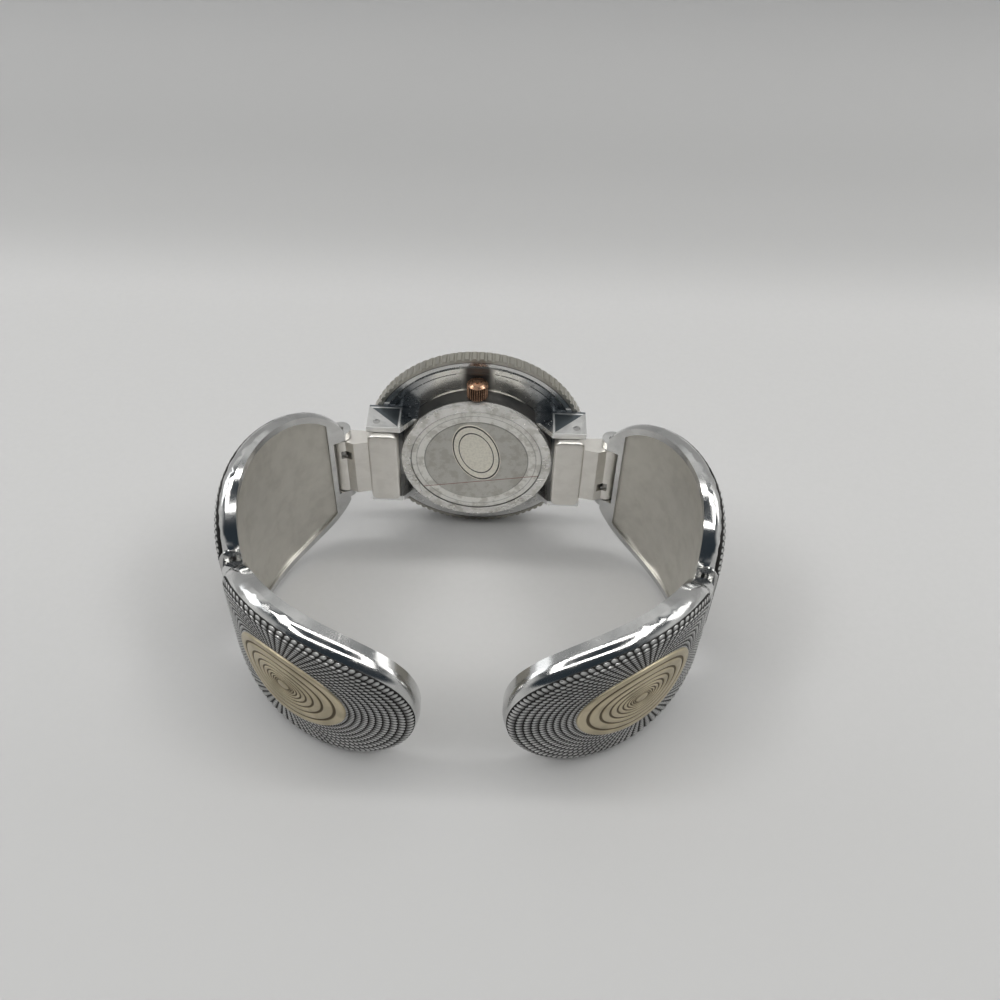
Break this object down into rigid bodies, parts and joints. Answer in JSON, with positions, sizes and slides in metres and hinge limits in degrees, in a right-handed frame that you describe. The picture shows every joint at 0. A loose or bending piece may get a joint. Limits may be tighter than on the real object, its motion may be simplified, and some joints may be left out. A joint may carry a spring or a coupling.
{
  "type": "cuff bracelet watch",
  "caption": "Round watch with a ribbed bezel and fluted crown, carried by hinged hollow cuff panels with raised oval medallions, open at the back of the wrist.",
  "frame": {"origin": "centre of the case back's rear rim face, on the dial axis", "axes": "+Y from the case back out through the dial, +Z along the crown, +X to twelve on the dial; the cuff hangs towards -Y"},
  "size_m": [0.0726, 0.0574, 0.036],
  "materials": {
    "case_steel": "polished",
    "bezel_steel": "polished, fine ribs",
    "dial_silver": "matte silver paint",
    "crystal_glass": "clear",
    "gasket_plastic": "smooth",
    "gasket_rubber": "smooth",
    "marker_steel": "polished",
    "hand_steel": "polished",
    "movement_brass": "satin",
    "movement_steel": "satin",
    "holder_plastic": "moulded",
    "battery_steel": "satin",
    "coil_copper": "fine wound copper wire",
    "board_green": "lacquered",
    "back_steel": "polished",
    "label_paper": "printed film",
    "crown_rose": "polished rose tone",
    "pin_steel": "turned",
    "link_steel": "polished sides, satin back",
    "spring_steel": "drawn wire",
    "panel_silver": "polished wall, antiqued rings",
    "cover_plate": "satin",
    "medallion_gold": "pale, fine oval grooves"
  },
  "bodies": {
    "case": {"case_middle": "case_steel", "bezel": "bezel_steel", "chapter_ring": "dial_silver", "crystal": "crystal_glass", "crystal_gasket": "gasket_plastic", "dial": "dial_silver", "hour_markers": "marker_steel", "movement_holder": "holder_plastic", "main_plate": "movement_brass", "battery": "battery_steel", "coil": "coil_copper", "stator": "movement_steel", "circuit_board": "board_green", "train_bridge": "movement_steel", "case_back": "back_steel", "back_gasket": "gasket_rubber", "back_label": "label_paper", "crown_tube": "movement_steel", "right_spring_bar": "pin_steel", "left_spring_bar": "pin_steel"},
    "hour": {"hour_hand": "hand_steel", "hour_wheel": "movement_brass"},
    "minute": {"minute_hand": "hand_steel", "cannon_pinion": "movement_steel"},
    "second": {"second_hand": "hand_steel", "second_arbor": "movement_steel"},
    "setting": {"setting_lever": "movement_steel"},
    "crown": {"crown": "crown_rose", "stem": "movement_steel", "stem_pinion": "movement_steel"},
    "right_link": {"right_end_link": "link_steel", "right_inner_hinge_spring": "spring_steel"},
    "right_inner": {"right_inner_panel": "panel_silver", "right_inner_cover": "cover_plate", "right_inner_medallion": "medallion_gold", "right_inner_hinge_pin": "pin_steel", "right_outer_hinge_spring": "spring_steel"},
    "right_outer": {"right_outer_panel": "panel_silver", "right_outer_cover": "cover_plate", "right_outer_medallion": "medallion_gold", "right_outer_hinge_pin": "pin_steel"},
    "left_link": {"left_end_link": "link_steel", "left_inner_hinge_spring": "spring_steel"},
    "left_inner": {"left_inner_panel": "panel_silver", "left_inner_cover": "cover_plate", "left_inner_medallion": "medallion_gold", "left_inner_hinge_pin": "pin_steel", "left_outer_hinge_spring": "spring_steel"},
    "left_outer": {"left_outer_panel": "panel_silver", "left_outer_cover": "cover_plate", "left_outer_medallion": "medallion_gold", "left_outer_hinge_pin": "pin_steel"}
  },
  "joints": [
    {"name": "minute_turn", "type": "hinge", "parent": "case", "child": "minute", "pos_m": [0, 0, 0], "axis": [0, -1, 0], "continuous": true},
    {"name": "hour_turn", "type": "hinge", "parent": "case", "child": "hour", "pos_m": [0, 0, 0], "axis": [0, -1, 0], "continuous": true},
    {"name": "second_turn", "type": "hinge", "parent": "case", "child": "second", "pos_m": [0, 0, 0], "axis": [0, -1, 0], "continuous": true},
    {"name": "crown_pull", "type": "slide", "parent": "case", "child": "setting", "axis": [0, 0, 1], "range_m": [0, 0.001]},
    {"name": "crown_turn", "type": "hinge", "parent": "setting", "child": "crown", "pos_m": [0, 0.0019, 0], "axis": [0, 0, 1], "continuous": true},
    {"name": "right_link_swing", "type": "hinge", "parent": "case", "child": "right_link", "pos_m": [0.0158, 0, 0], "axis": [0, 0, 1], "range_deg": [0, 10]},
    {"name": "right_inner_open", "type": "hinge", "parent": "right_link", "child": "right_inner", "pos_m": [0.02153, -0.00063, 0], "axis": [0, 0, 1], "range_deg": [0, 35], "stiffness_Nm_per_rad": 0.06, "springref_deg": -17.19},
    {"name": "right_outer_open", "type": "hinge", "parent": "right_inner", "child": "right_outer", "pos_m": [0.03262, -0.02908, 0], "axis": [0, 0, 1], "range_deg": [0, 20], "stiffness_Nm_per_rad": 0.04, "springref_deg": -17.19},
    {"name": "left_link_swing", "type": "hinge", "parent": "case", "child": "left_link", "pos_m": [-0.0158, 0, 0], "axis": [0, 0, -1], "range_deg": [0, 10]},
    {"name": "left_inner_open", "type": "hinge", "parent": "left_link", "child": "left_inner", "pos_m": [-0.02153, -0.00063, 0], "axis": [0, 0, -1], "range_deg": [0, 35], "stiffness_Nm_per_rad": 0.06, "springref_deg": -17.19},
    {"name": "left_outer_open", "type": "hinge", "parent": "left_inner", "child": "left_outer", "pos_m": [-0.03262, -0.02908, 0], "axis": [0, 0, -1], "range_deg": [0, 20], "stiffness_Nm_per_rad": 0.04, "springref_deg": -17.19}
  ],
  "couplings": [
    {"joint": "minute_turn", "follows": "hour_turn", "ratio": 12}
  ]
}
